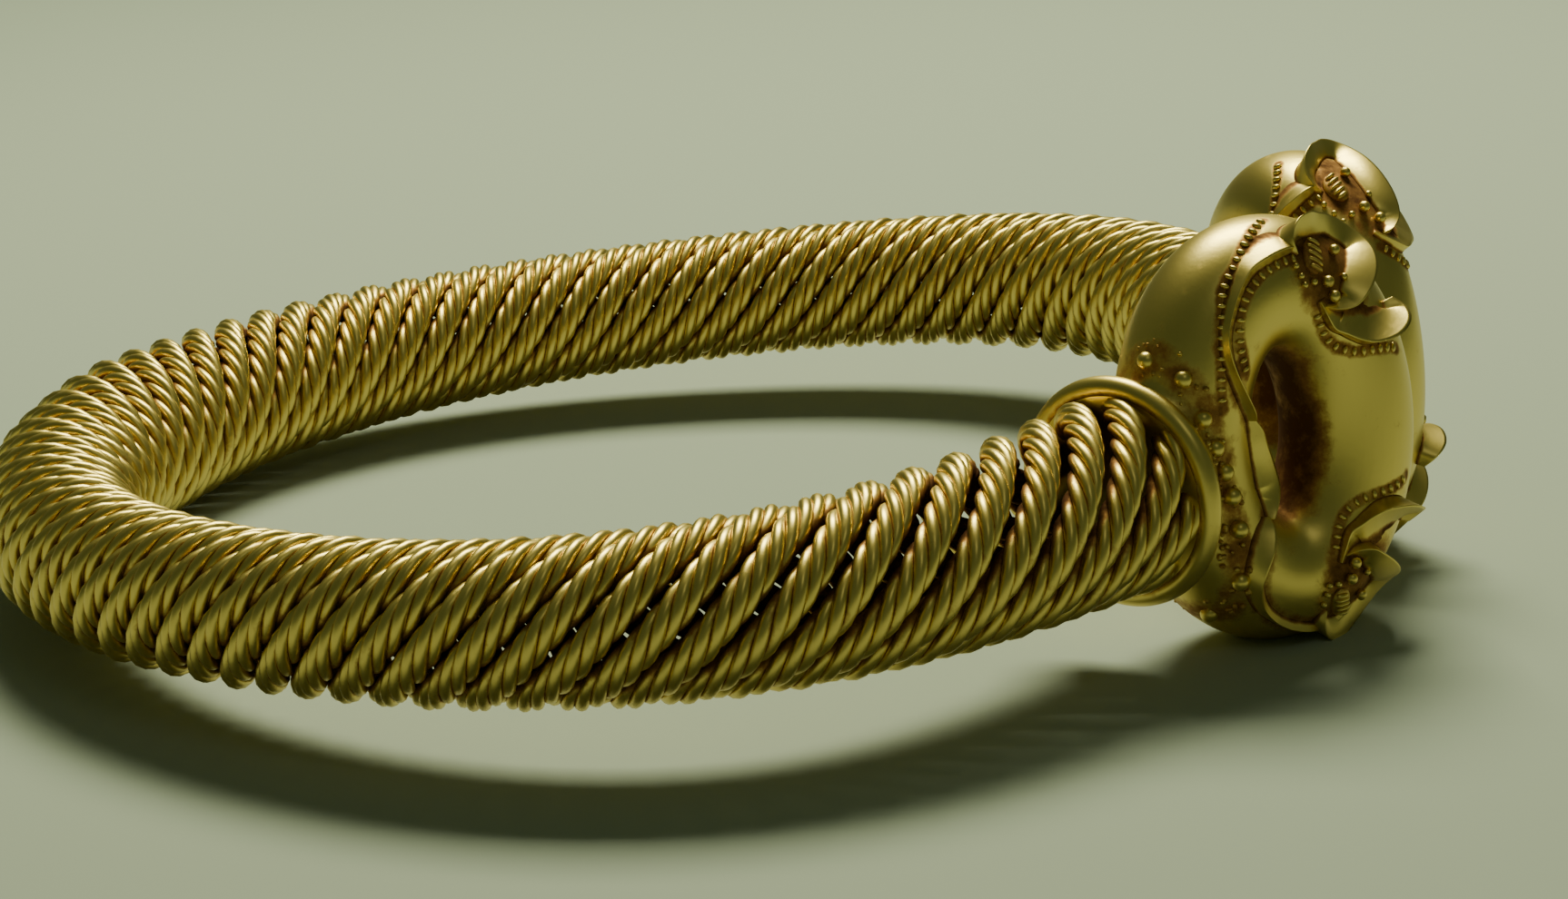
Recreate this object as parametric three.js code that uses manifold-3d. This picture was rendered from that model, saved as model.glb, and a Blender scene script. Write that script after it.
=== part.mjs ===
// Gold torc: an open neck ring of eight twisted ropes, with a cast ring terminal on each end.
// Each rope stands for wires twisted together. The ropes wind left-handed round a hollow.
// Millimetres, +Z up. The torc lies on the back of its hoop and on both terminals, +X to the front.
import * as THREE from 'three';
import { mergeVertices } from 'three/addons/utils/BufferGeometryUtils.js';
import Module from 'manifold-3d';

const wasm = await Module();
wasm.setup();

// Hoop: half of its centreline, from the back to a collar, with bend radii at equal steps
const HALF_LENGTH = 224.4;
const BEND_RADII = [80, 82, 111, 54, 182];
const BUNDLE_RADIUS = { back: 12.2, side: 9.9, collar: 12.5 };
// The far terminal stands this much off the near one's mirror image, as bent by hand
const FAR_SHIFT = new THREE.Vector3(-2.5, 1.5, 0);

// Ropes
const ROPES = 8;
const ROPE_DIAMETER = 4.3;
const ROPE_ANGLE = THREE.MathUtils.degToRad(47);
const ROPE_START = THREE.MathUtils.degToRad(33);
const ROPE_SIDES = 5;
const ROPE_STEP_ANGLE = THREE.MathUtils.degToRad(41);

// Ring terminals: an oval ring, standing up, turned outwards from its arm
const TERMINAL_GAP = 3.0;
const RING_BREADTH_RADIUS = 11.2;
const RING_HEIGHT_RADIUS = 17.4;
const RING_TUBE_RADIUS = 9.1;
const RING_HOLE_SIDE = 0.82;
const RING_TURN = THREE.MathUtils.degToRad(21.7);
const RING_RISE = 3.5;
const RING_STEPS = 20;
const RING_SIDES = 9;

// Collar: the end of the neck, which holds the ropes
const NECK_REACH = 21.8;
const COLLAR_MARGIN = 0.5;
const COLLAR_SIDES = 15;
const BEAD_RADIUS = 1.4;
const BEAD_SEAT_SHARE = 0.8;
const BEAD_SIDES = 5;
const PELLETS = 18;
const PELLET_RADIUS = 1.15;
// The row of pellets slants: its share of the way along the neck is least at this turn about the neck
const PELLET_SHARE = { middle: 0.55, swing: 0.24, leastTurn: THREE.MathUtils.degToRad(105) };
const PELLET_SINK = 0.5;
const PELLET_SEARCH_STEP = 0.1;
const NECK_SHARES = [0, 0.3, 0.6, 0.85, 1];
const NECK_END_SHARE = 0.75;

// Raised ornament
const RIDGE_HEIGHT = 1.3;
const RIDGE_WIDTH = 2.6;
const CRESCENT_WIDTH = 4.6;
const CRESCENT_HEIGHT = 2.2;
const LEAF_WIDTH = 4.4;
const LEAF_HEIGHT = 2.6;
const BALL_RADIUS = 1.3;
const BALL_SINK = 0.2;
const RIDGE_STEPS = 15;
const RIDGE_FULLNESS = 0.3;
const CURL_STEPS = 6;
const CURL_FULLNESS = 0.6;
const RIB_TIP_SHARE = 0.2;
const RIB_DEPTH = 1;
const RIB_SLOPE_STEP = 0.02;

// Fits
const TOUCH_GAP = 0.3;
const SMALLEST_DETAIL = 0.06;
const SAME_POINT = 1e-4;
const FLAT_DEPTH = 0.5;
const GROUND = { size: 400, depth: 20 };

const GOLD = new THREE.Color(0.80, 0.58, 0.22);
const UP = new THREE.Vector3(0, 0, 1);
const HOOP_SAMPLES = 480;

const degrees = THREE.MathUtils.degToRad;
const lerp = THREE.MathUtils.lerp;

// Half of the hoop, walked from the back with its curvature, bulging to +Y
function walkHalfHoop() {
  const bend = new THREE.SplineCurve(BEND_RADII.map((radius, i) => new THREE.Vector2(i, 1 / radius)));
  const step = HALF_LENGTH / HOOP_SAMPLES;
  const points = [new THREE.Vector3()];
  let heading = 0;
  for (let i = 0; i < HOOP_SAMPLES; i++) {
    const turn = bend.getPoint((i + 0.5) / HOOP_SAMPLES).y * step;
    const middle = heading + turn / 2;
    const ahead = new THREE.Vector3(Math.sin(middle), Math.cos(middle), 0).multiplyScalar(step);
    points.push(points[i].clone().add(ahead));
    heading += turn;
  }
  return { points, heading };
}

const walked = walkHalfHoop();

// Directions at the far (+Y) collar: along the rope, to the front of it, and the ring's own two
const ropeHeading = new THREE.Vector3(Math.sin(walked.heading), Math.cos(walked.heading), 0);
const ropeFront = new THREE.Vector3(-ropeHeading.y, ropeHeading.x, 0);
const ringInward = turned(ropeHeading, ropeFront, RING_TURN);
const ringFront = new THREE.Vector3(-ringInward.y, ringInward.x, 0);

function turned(along, aside, angle) {
  return along.clone().multiplyScalar(Math.cos(angle)).addScaledVector(aside, Math.sin(angle));
}

// The terminals' gap sets the collars' places, and the hoop is spread sideways to reach them
const ringCentreY = TERMINAL_GAP / 2 + RING_TUBE_RADIUS - RING_BREADTH_RADIUS * ringInward.y;
const collarY = ringCentreY - NECK_REACH * ringInward.y;
const spread = collarY / walked.points[HOOP_SAMPLES].y;
const collarPoint = new THREE.Vector3(walked.points[HOOP_SAMPLES].x, collarY, 0);
const ringCentre = collarPoint.clone().addScaledVector(ringInward, NECK_REACH);
ringCentre.z = RING_RISE;

// Half of the hoop from the back to a collar, with side -1 for the near half and 1 for the far one
function halfHoop(side) {
  return walked.points.map((p, i) => {
    const place = new THREE.Vector3(p.x, side * p.y * spread, 0);
    return side > 0 ? place.addScaledVector(FAR_SHIFT, (i / HOOP_SAMPLES) ** 2) : place;
  });
}

const nearHalf = halfHoop(-1);
const farHalf = halfHoop(1);

// A place on the whole hoop: t runs from -1, the near collar, through 0, the back, to 1, the far one
function hoopAt(t) {
  const half = t < 0 ? nearHalf : farHalf;
  const place = Math.min(Math.abs(t), 1) * HOOP_SAMPLES;
  const i = Math.min(Math.floor(place), HOOP_SAMPLES - 1);
  const point = half[i].clone().lerp(half[i + 1], place - i);
  const along = half[Math.min(i + 2, HOOP_SAMPLES)].clone().sub(half[Math.max(i - 1, 0)]).normalize();
  if (t < 0) along.negate();
  return { point, outward: new THREE.Vector3(-along.y, along.x, 0) };
}

// The bundle is widest at the collars and the back: a parabola through its three radii
function bundleRadius(t) {
  const { back, side, collar } = BUNDLE_RADIUS;
  const q = Math.abs(t);
  return back * (1 - q) * (1 - 2 * q) + 4 * side * q * (1 - q) + collar * q * (2 * q - 1);
}

// The ropes keep one angle to the hoop, so they touch where the bundle is thin and part where it swells
function ropeLay(t) {
  const radius = bundleRadius(t) - ROPE_DIAMETER / 2;
  return { radius, turnPerLength: Math.tan(ROPE_ANGLE) / radius };
}

// Stations with equal turns of the ropes between them, from the near collar to the far one
function ropeStations() {
  const reach = 1 - TOUCH_GAP / HALF_LENGTH;
  const samples = 2 * HOOP_SAMPLES;
  const turns = [0];
  const places = [-reach];
  for (let i = 1; i <= samples; i++) {
    const t = lerp(-reach, reach, (i - 0.5) / samples);
    turns.push(turns[i - 1] + ropeLay(t).turnPerLength * HALF_LENGTH * (2 * reach / samples));
    places.push(lerp(-reach, reach, i / samples));
  }
  const total = turns[samples];
  const count = Math.round(total / ROPE_STEP_ANGLE);
  const stations = [];
  let k = 0;
  for (let i = 0; i <= count; i++) {
    const angle = total * i / count;
    while (k < samples - 1 && turns[k + 1] < angle) k++;
    const share = (angle - turns[k]) / (turns[k + 1] - turns[k]);
    stations.push({ t: lerp(places[k], places[k + 1], share), angle: angle - total / 2 });
  }
  return stations;
}

// One rope: sections in planes across the hoop, no broader than the gap to the next rope allows
function ropeGeometry(index, stations) {
  const widest = Math.sin(2 * Math.PI * Math.round(ROPE_SIDES / 4) / ROPE_SIDES);
  const sections = stations.map(({ t, angle }) => {
    const { radius } = ropeLay(t);
    const { point, outward } = hoopAt(t);
    const round = ROPE_START + 2 * Math.PI * index / ROPES - angle;
    const radial = turned(outward, UP, round);
    const aside = turned(outward, UP, round + Math.PI / 2);
    const room = radius * Math.sin(Math.PI / ROPES) - TOUCH_GAP / (2 * Math.cos(ROPE_ANGLE));
    const breadth = Math.min(room, ROPE_DIAMETER / (2 * Math.cos(ROPE_ANGLE)));
    const centre = point.addScaledVector(radial, radius);
    return polygon(centre, radial, aside, ROPE_DIAMETER / 2, breadth / widest, ROPE_SIDES);
  });
  return loft(sections);
}

function polygon(centre, first, second, a, b, sides) {
  return Array.from({ length: sides }, (_, i) => {
    const angle = 2 * Math.PI * i / sides;
    const place = centre.clone().addScaledVector(first, a * Math.cos(angle));
    return place.addScaledVector(second, b * Math.sin(angle));
  });
}

// A closed skin over sections with equal numbers of points, capped at both ends or closed on itself
function loft(sections, closed = false) {
  const sides = sections[0].length;
  const rows = closed ? sections.length : sections.length - 1;
  const points = sections.flat();
  const triangles = [];
  for (let i = 0; i < rows; i++) {
    const here = i * sides;
    const next = ((i + 1) % sections.length) * sides;
    for (let j = 0; j < sides; j++) {
      const k = (j + 1) % sides;
      triangles.push(here + j, here + k, next + k, here + j, next + k, next + j);
    }
  }
  if (!closed) {
    for (let j = 1; j < sides - 1; j++) {
      triangles.push(0, j + 1, j);
      const last = rows * sides;
      triangles.push(last, last + j, last + j + 1);
    }
  }
  return facing(points, triangles);
}

// Geometry from points and triangles, turned inside out where its volume comes out negative
function facing(points, triangles) {
  let volume = 0;
  for (let i = 0; i < triangles.length; i += 3) {
    const [a, b, c] = triangles.slice(i, i + 3).map((k) => points[k]);
    volume += a.dot(new THREE.Vector3().crossVectors(b, c));
  }
  if (volume < 0) triangles.reverse();
  const geometry = new THREE.BufferGeometry();
  geometry.setAttribute('position', new THREE.Float32BufferAttribute(points.flatMap((p) => p.toArray()), 3));
  geometry.setIndex(triangles);
  return geometry;
}

function solid(geometry) {
  const bare = geometry.clone();
  bare.deleteAttribute('normal');
  bare.deleteAttribute('uv');
  const merged = mergeVertices(bare, SAME_POINT);
  return new wasm.Manifold(new wasm.Mesh({
    numProp: 3,
    vertProperties: new Float32Array(merged.attributes.position.array),
    triVerts: new Uint32Array(merged.index.array),
  }));
}

function geometryOf(manifold) {
  const { vertProperties, triVerts } = manifold.getMesh();
  const geometry = new THREE.BufferGeometry();
  geometry.setAttribute('position', new THREE.Float32BufferAttribute(vertProperties, 3));
  geometry.setIndex(Array.from(triVerts));
  return geometry;
}

// Terminal, in its own frame: X inwards to the other terminal, Y to the front, Z up, ring at the origin.
// A place on the ring: around is the angle about the hole, from the inner limb over the top, and
// across is the angle about the tube, from its outside over its front to the hole.
function onRing(around, across, lift) {
  const [cosine, sine] = [Math.cos(around), Math.sin(around)];
  const centre = new THREE.Vector3(RING_BREADTH_RADIUS * cosine, 0, RING_HEIGHT_RADIUS * sine);
  const away = new THREE.Vector3(RING_HEIGHT_RADIUS * cosine, 0, RING_BREADTH_RADIUS * sine);
  const towardsHole = (1 - Math.cos(across)) / 2;
  const radius = RING_TUBE_RADIUS * lerp(1, RING_HOLE_SIDE, towardsHole) + lift;
  return centre.addScaledVector(away.normalize(), radius * Math.cos(across)).setY(radius * Math.sin(across));
}

function ringBody() {
  const sections = Array.from({ length: RING_STEPS }, (_, i) => {
    const around = 2 * Math.PI * i / RING_STEPS;
    return Array.from({ length: RING_SIDES }, (_, j) => onRing(around, 2 * Math.PI * j / RING_SIDES, 0));
  });
  return loft(sections, true);
}

// The neck's axis, in the terminal's frame: from the collar's face along the rope's heading
const neckAxis = new THREE.Vector3(Math.cos(RING_TURN), -Math.sin(RING_TURN), 0);
const neckSide = new THREE.Vector3(Math.sin(RING_TURN), Math.cos(RING_TURN), 0);
const collarCentre = new THREE.Vector3(-NECK_REACH, 0, -RING_RISE);
const collarRadius = BUNDLE_RADIUS.collar + COLLAR_MARGIN;

// The neck's section at a share of its way from the collar's face into the ring's outer limb
function neckSection(share) {
  const limb = new THREE.Vector3(-RING_BREADTH_RADIUS, 0, 0);
  const shoulder = collarRadius * Math.cos(share * Math.PI / 2);
  const end = RING_TUBE_RADIUS * NECK_END_SHARE;
  return { centre: collarCentre.clone().lerp(limb, share), radius: Math.hypot(shoulder, end * share) };
}

function neckBody() {
  return loft(NECK_SHARES.map((share) => {
    const { centre, radius } = neckSection(share);
    return polygon(centre, neckSide, UP, radius, radius, COLLAR_SIDES);
  }));
}

function beadBody() {
  const centre = collarCentre.clone().addScaledVector(neckAxis, BEAD_RADIUS * BEAD_SEAT_SHARE);
  const sections = Array.from({ length: COLLAR_SIDES }, (_, i) => {
    const out = turned(neckSide, UP, 2 * Math.PI * i / COLLAR_SIDES);
    const middle = centre.clone().addScaledVector(out, collarRadius);
    return polygon(middle, out, neckAxis, BEAD_RADIUS, BEAD_RADIUS, BEAD_SIDES);
  });
  return loft(sections, true);
}

function pellet(centre, radius) {
  return new THREE.OctahedronGeometry(radius).translate(centre.x, centre.y, centre.z);
}

// Whether a place is inside the ring's tube, found from the nearest of many places on its centreline
function insideRing(place) {
  const around = Array.from({ length: 4 * RING_STEPS }, (_, i) => i * Math.PI / (2 * RING_STEPS));
  const nearest = Math.min(...around.map((angle) => place.distanceTo(
    new THREE.Vector3(RING_BREADTH_RADIUS * Math.cos(angle), 0, RING_HEIGHT_RADIUS * Math.sin(angle)))));
  return nearest < RING_TUBE_RADIUS - PELLET_SINK;
}

// The pellets stand on the neck, or on the ring where that is further out
function pelletRow() {
  const { middle, swing, leastTurn } = PELLET_SHARE;
  return Array.from({ length: PELLETS }, (_, i) => {
    const turn = 2 * Math.PI * i / PELLETS;
    const { centre, radius } = neckSection(middle - swing * Math.cos(turn - leastTurn));
    const out = turned(neckSide, UP, turn);
    const place = centre.clone().addScaledVector(out, radius);
    while (insideRing(place)) place.addScaledVector(out, PELLET_SEARCH_STEP);
    return pellet(place, PELLET_RADIUS);
  });
}

// A raised rib along a curve on the ring: width and height swell from tip to tip
function rib(places, width, height, steps, fullness) {
  const stations = places.map(([around, across]) => new THREE.Vector3(around, across, 0));
  const curve = new THREE.CatmullRomCurve3(stations);
  const sections = Array.from({ length: steps + 1 }, (_, i) => {
    const share = i / steps;
    const here = curve.getPoint(share);
    const swell = lerp(RIB_TIP_SHARE, 1, Math.sin(Math.PI * share) ** fullness);
    const low = onRing(degrees(here.x), degrees(here.y), -RIB_DEPTH);
    const high = onRing(degrees(here.x), degrees(here.y), height * swell);
    const next = curve.getPoint(Math.min(share + RIB_SLOPE_STEP, 1));
    const last = curve.getPoint(Math.max(share - RIB_SLOPE_STEP, 0));
    const ahead = onRing(degrees(next.x), degrees(next.y), 0);
    const along = ahead.sub(onRing(degrees(last.x), degrees(last.y), 0));
    const aside = new THREE.Vector3().crossVectors(along, high.clone().sub(low)).normalize();
    const half = width / 2 * swell;
    return [high, low.clone().addScaledVector(aside, half), low.clone().addScaledVector(aside, -half)];
  });
  return loft(sections);
}

// The long S-shaped ridge: down the outer limb's front, round the hole's lip, and under the bottom lobe
const RIDGE_PLACES = [
  [85, 51], [105, 55], [124, 67], [144, 90], [168, 130],
  [204, 142], [228, 102], [243, 63], [270, 44], [300, 42],
];

// One cluster of ornament: a bowl's rim round two balls, and the flared rim of a saddle
const CRESCENT_PLACES = [[78, 30], [60, 15], [53, 36], [53, 66], [62, 90]];
const LEAF_PLACES = [[68, 93], [51, 98], [38, 87], [33, 66], [34, 42]];
const BALL_PLACES = [[68, 45], [70, 72], [65, 80]];

const asDrawn = (place) => place;
const upsideDown = ([around, across]) => [-around, across];

// The far terminal carries its upper cluster a quarter turn round, on top of the inner limb
const CLUSTER_MIDDLE = [75, 54];
const FAR_CLUSTER_MIDDLE = [65, 1];
const ACROSS_TO_AROUND = 0.53;
const AROUND_TO_ACROSS = 1.82;

function quarterTurned([around, across]) {
  return [
    FAR_CLUSTER_MIDDLE[0] - (across - CLUSTER_MIDDLE[1]) * ACROSS_TO_AROUND,
    FAR_CLUSTER_MIDDLE[1] - (around - CLUSTER_MIDDLE[0]) * AROUND_TO_ACROSS,
  ];
}

function cluster(place) {
  const balls = BALL_PLACES.map(place).map(([around, across]) =>
    pellet(onRing(degrees(around), degrees(across), -BALL_SINK), BALL_RADIUS));
  return [
    rib(CRESCENT_PLACES.map(place), CRESCENT_WIDTH, CRESCENT_HEIGHT, CURL_STEPS, CURL_FULLNESS),
    rib(LEAF_PLACES.map(place), LEAF_WIDTH, LEAF_HEIGHT, CURL_STEPS, CURL_FULLNESS),
    ...balls,
  ];
}

function terminalShape(upperPlace) {
  const pieces = [
    ringBody(), neckBody(), beadBody(), ...pelletRow(),
    rib(RIDGE_PLACES, RIDGE_WIDTH, RIDGE_HEIGHT, RIDGE_STEPS, RIDGE_FULLNESS),
    ...cluster(upperPlace), ...cluster(upsideDown),
  ];
  return pieces.map(solid).reduce((sum, piece) => sum.add(piece));
}

// The lying pose: tilted until the hoop's back and the terminals' undersides are level
function lyingTilt() {
  const run = ringCentre.x;
  const drop = RING_RISE - RING_HEIGHT_RADIUS;
  const rise = RING_TUBE_RADIUS - FLAT_DEPTH - BUNDLE_RADIUS.back;
  return Math.asin(rise / Math.hypot(run, drop)) - Math.atan2(drop, run);
}

const tilt = lyingTilt();
const lying = new THREE.Matrix4().makeRotationY(-tilt);
lying.setPosition(0, 0, BUNDLE_RADIUS.back);

function terminalGeometry(side) {
  const centre = new THREE.Vector3(ringCentre.x, side * ringCentre.y, ringCentre.z);
  if (side > 0) centre.add(FAR_SHIFT);
  const place = new THREE.Matrix4().makeBasis(
    new THREE.Vector3(ringInward.x, side * ringInward.y, 0),
    new THREE.Vector3(ringFront.x, side * ringFront.y, 0),
    UP,
  ).setPosition(centre).premultiply(lying);
  const geometry = geometryOf(terminalShape(side > 0 ? quarterTurned : asDrawn));
  const points = Array.from({ length: geometry.attributes.position.count }, (_, i) =>
    new THREE.Vector3().fromBufferAttribute(geometry.attributes.position, i).applyMatrix4(place));
  const placed = facing(points, Array.from(geometry.index.array));
  const below = new THREE.BoxGeometry(GROUND.size, GROUND.size, GROUND.depth);
  below.translate(0, 0, -GROUND.depth / 2);
  return geometryOf(solid(placed).subtract(solid(below)).simplify(SMALLEST_DETAIL));
}

function goldMesh(name, geometry) {
  const look = { color: GOLD, roughness: 0.32, metalness: 1, flatShading: true };
  const material = new THREE.MeshStandardMaterial(look);
  const mesh = new THREE.Mesh(geometry, material);
  mesh.name = name;
  return mesh;
}

const torc = new THREE.Group();
const stations = ropeStations();
for (let index = 0; index < ROPES; index++) {
  torc.add(goldMesh(`rope_${index + 1}`, ropeGeometry(index, stations).applyMatrix4(lying)));
}
torc.add(goldMesh('terminal_left', terminalGeometry(-1)));
torc.add(goldMesh('terminal_right', terminalGeometry(1)));

// Origin: the middle of the box that the torc fills, on the ground
const box = new THREE.Box3().setFromObject(torc);
const middle = box.getCenter(new THREE.Vector3());
torc.position.set(-middle.x, -middle.y, 0);

export default torc;
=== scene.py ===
"""Gold torc: eight ropes of twisted wires, two cast ring terminals, worn gold with painted shade in its
hollows, and a plain floor.

Shapes are worked out in millimetres, in the part's frame, and become metres when a mesh is made.
"""

import math

import bpy
import numpy as np
from mathutils import Matrix, Vector
from mathutils.kdtree import KDTree


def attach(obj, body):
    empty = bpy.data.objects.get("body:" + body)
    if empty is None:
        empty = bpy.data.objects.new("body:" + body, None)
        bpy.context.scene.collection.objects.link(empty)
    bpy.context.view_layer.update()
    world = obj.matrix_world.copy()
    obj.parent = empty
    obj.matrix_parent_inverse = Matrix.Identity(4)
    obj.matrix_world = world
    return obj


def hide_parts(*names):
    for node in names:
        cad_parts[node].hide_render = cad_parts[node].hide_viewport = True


MM = 0.001

# Hoop: half of its centreline, from the back to a collar, with bend radii at equal steps
HALF_LENGTH = 224.4
BEND_RADII = (80, 82, 111, 54, 182)
BUNDLE_BACK = 12.2
BUNDLE_SIDE = 9.9
BUNDLE_COLLAR = 12.5
FAR_SHIFT = (-2.5, 1.5, 0)
HOOP_SAMPLES = 2000

# Ropes and their wires
ROPES = 8
ROPE_DIAMETER = 4.3
ROPE_ANGLE = math.radians(47)
ROPE_START = math.radians(33)
WIRES = 5
WIRE_DIAMETER = 1.64
WIRE_RING_RADIUS = 1.36
WIRE_LAY = 18.5
WIRE_STEPS_PER_TURN = 16
WIRE_SIDES = 10
WIRE_UNEVENNESS = 0.03
ROPE_IN_COLLAR = 1.6

# Ring terminals
TERMINAL_GAP = 3.0
RING_BREADTH_RADIUS = 11.2
RING_HEIGHT_RADIUS = 17.4
RING_TUBE_RADIUS = 9.1
RING_HOLE_SIDE = 0.82
RING_TURN = math.radians(21.7)
RING_RISE = 3.5
FLAT_DEPTH = 0.5
NECK_REACH = 21.8
COLLAR_MARGIN = 0.5
BEAD_RADIUS = 1.4
BEAD_SEAT_SHARE = 0.8
PELLETS = 18
PELLET_RADIUS = 1.15
PELLET_SHARE_MIDDLE = 0.55
PELLET_SHARE_SWING = 0.24
PELLET_LEAST_TURN = math.radians(105)
PELLET_SINK = 0.3
PELLET_SEARCH_STEP = 0.1
GRAINS = 150
GRAIN_SHARES = (-0.22, 0.12)
GRAIN_RADII = (0.25, 0.55)
NECK_END_SHARE = 0.75

# The casting's mesh: its skins before they are joined, and how the crease between them is rounded
RING_STEPS = 200
CASTING_SIDES = 120
NECK_STEPS = 40
CASTING_VOXEL = 0.34
CREASE_REACH = (1.8, 0.4)
CREASE_ROUNDS = 40

# Camera, in the hoop's own plane: the back of the hoop is at the origin there
CAMERA_TARGET = (103.01, -11.42, 0)
CAMERA_DISTANCE = 502.5
CAMERA_AZIMUTH = math.radians(21.06)
CAMERA_ELEVATION = math.radians(14.47)
CAMERA_ROLL = math.radians(-6.65)
FOCAL_PIXELS = 4249.6
PHOTO_WIDTH = 1726
SENSOR_WIDTH = 36

# The back of the hoop's centreline, in the part's frame
HOOP_BACK = (-86.72, 0.04)

# Dirt and painted shade begin at the first distance and are full at the second
# Painted shade deep in the ring's hole
HOLE_SHADE_SHARE = (0.95, 0.45)
HOLE_SHADE_DEPTH = (7.5, 2.5)
PELLET_DIRT_REACH = (3.6, 1.0)
# Painted shade beside the bars, the ridges and the clusters
TICK_SHADE_REACH = (1.3, 0.5)
CREST_SHADE_REACH = (2.4, 0.9)
CLUSTER_SHADE_REACH = (6.0, 2.5)
# Painted shade in the grooves between wires and deep in the bundle between ropes
GROOVE_SHADE_DEPTH = (0.25, 0.75)
BUNDLE_SHADE_DEPTH = (0.9, 2.4)

# Colours of the gold from clean to dirty and shaded, where the dark end is painted shade as well as dirt, and
# how often its patches and pits repeat, per metre
CLEAN_GOLD = (0.78, 0.60, 0.17, 1)
STAINED_AND_SHADED_GOLD = (0.40, 0.20, 0.06, 1)
DIRT_AND_SHADE = (0.13, 0.050, 0.016, 1)
PATCHES_PER_METRE = 300
PITS_PER_METRE = 1400
FLOOR_COLOUR = (0.365, 0.42, 0.345, 1)

UP = np.array((0.0, 0.0, 1.0))


def unit(v):
    return v / np.linalg.norm(v, axis=-1, keepdims=True)


def lerp(a, b, share):
    return a + (b - a) * share


def smoothstep(low, high, x):
    share = np.clip((x - low) / (high - low), 0, 1)
    return share * share * (3 - 2 * share)


# The hoop

def catmull_rom(values, share):
    """A smooth curve through equally spaced values, with the end values doubled."""
    place = share * (len(values) - 1)
    i = np.minimum(place.astype(int), len(values) - 2)
    w = place - i
    padded = np.concatenate((values[:1], values, values[-1:]))
    before, here, ahead, beyond = (padded[i + k] for k in range(4))
    slope_here = (ahead - before) / 2
    slope_ahead = (beyond - here) / 2
    cubic = 2 * here - 2 * ahead + slope_here + slope_ahead
    square = 3 * ahead - 3 * here - 2 * slope_here - slope_ahead
    return ((cubic * w + square) * w + slope_here) * w + here


def walk_half_hoop():
    """Points, headings and curvature of the half hoop that bulges to +Y."""
    share = (np.arange(HOOP_SAMPLES) + 0.5) / HOOP_SAMPLES
    curvature = catmull_rom(1 / np.array(BEND_RADII, float), share)
    step = HALF_LENGTH / HOOP_SAMPLES
    heading = np.cumsum(curvature * step)
    middle = heading - curvature * step / 2
    ahead = np.stack((np.sin(middle), np.cos(middle), np.zeros_like(middle)), 1) * step
    points = np.concatenate((np.zeros((1, 3)), np.cumsum(ahead, 0)))
    return points, heading[-1], np.append(curvature, curvature[-1])


half_hoop, collar_heading, half_curvature = walk_half_hoop()
rope_heading = np.array((math.sin(collar_heading), math.cos(collar_heading), 0))
rope_front = np.array((-rope_heading[1], rope_heading[0], 0))
ring_inward = rope_heading * math.cos(RING_TURN) + rope_front * math.sin(RING_TURN)
ring_front = np.array((-ring_inward[1], ring_inward[0], 0))

# The gap between the terminals sets the collars' places, and the hoop is spread sideways to reach them
ring_centre_y = TERMINAL_GAP / 2 + RING_TUBE_RADIUS - RING_BREADTH_RADIUS * ring_inward[1]
half_hoop[:, 1] *= (ring_centre_y - NECK_REACH * ring_inward[1]) / half_hoop[-1, 1]
ring_centre = half_hoop[-1] + NECK_REACH * ring_inward + RING_RISE * UP
near_hoop = half_hoop * (1, -1, 1)
far_hoop = half_hoop + np.array(FAR_SHIFT) * (np.arange(HOOP_SAMPLES + 1)[:, None] / HOOP_SAMPLES) ** 2


def lying_matrix():
    """From the hoop's plane to the part's frame: tilted until the back and the terminals touch the ground."""
    drop = RING_RISE - RING_HEIGHT_RADIUS
    rise = RING_TUBE_RADIUS - FLAT_DEPTH - BUNDLE_BACK
    tilt = math.asin(rise / math.hypot(ring_centre[0], drop)) - math.atan2(drop, ring_centre[0])
    return Matrix.Translation((*HOOP_BACK, BUNDLE_BACK)) @ Matrix.Rotation(-tilt, 4, "Y")


def transformed(points, matrix):
    m = np.array(matrix)
    return points @ m[:3, :3].T + m[:3, 3]


def hoop_at(s):
    """Centreline points, outward directions and curvature at lengths s from the back, negative to -Y."""
    hoop = np.concatenate((near_hoop[:0:-1], far_hoop))
    samples = np.arange(-HOOP_SAMPLES, HOOP_SAMPLES + 1)
    place = np.clip(s / HALF_LENGTH, -1, 1) * HOOP_SAMPLES
    along = unit(np.gradient(hoop, axis=0))
    point = np.stack([np.interp(place, samples, hoop[:, k]) for k in range(3)], 1)
    along = unit(np.stack([np.interp(place, samples, along[:, k]) for k in range(3)], 1))
    point += along * (s - np.clip(s, -HALF_LENGTH, HALF_LENGTH))[:, None]
    outward = np.stack((-along[:, 1], along[:, 0], np.zeros_like(s)), 1)
    return point, outward, np.interp(np.abs(place), samples[HOOP_SAMPLES:], half_curvature)


def bundle_radius(s):
    q = np.minimum(np.abs(s) / HALF_LENGTH, 1)
    ends = BUNDLE_BACK * (1 - q) * (1 - 2 * q) + BUNDLE_COLLAR * q * (2 * q - 1)
    return ends + 4 * BUNDLE_SIDE * q * (1 - q)


# Meshes

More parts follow.
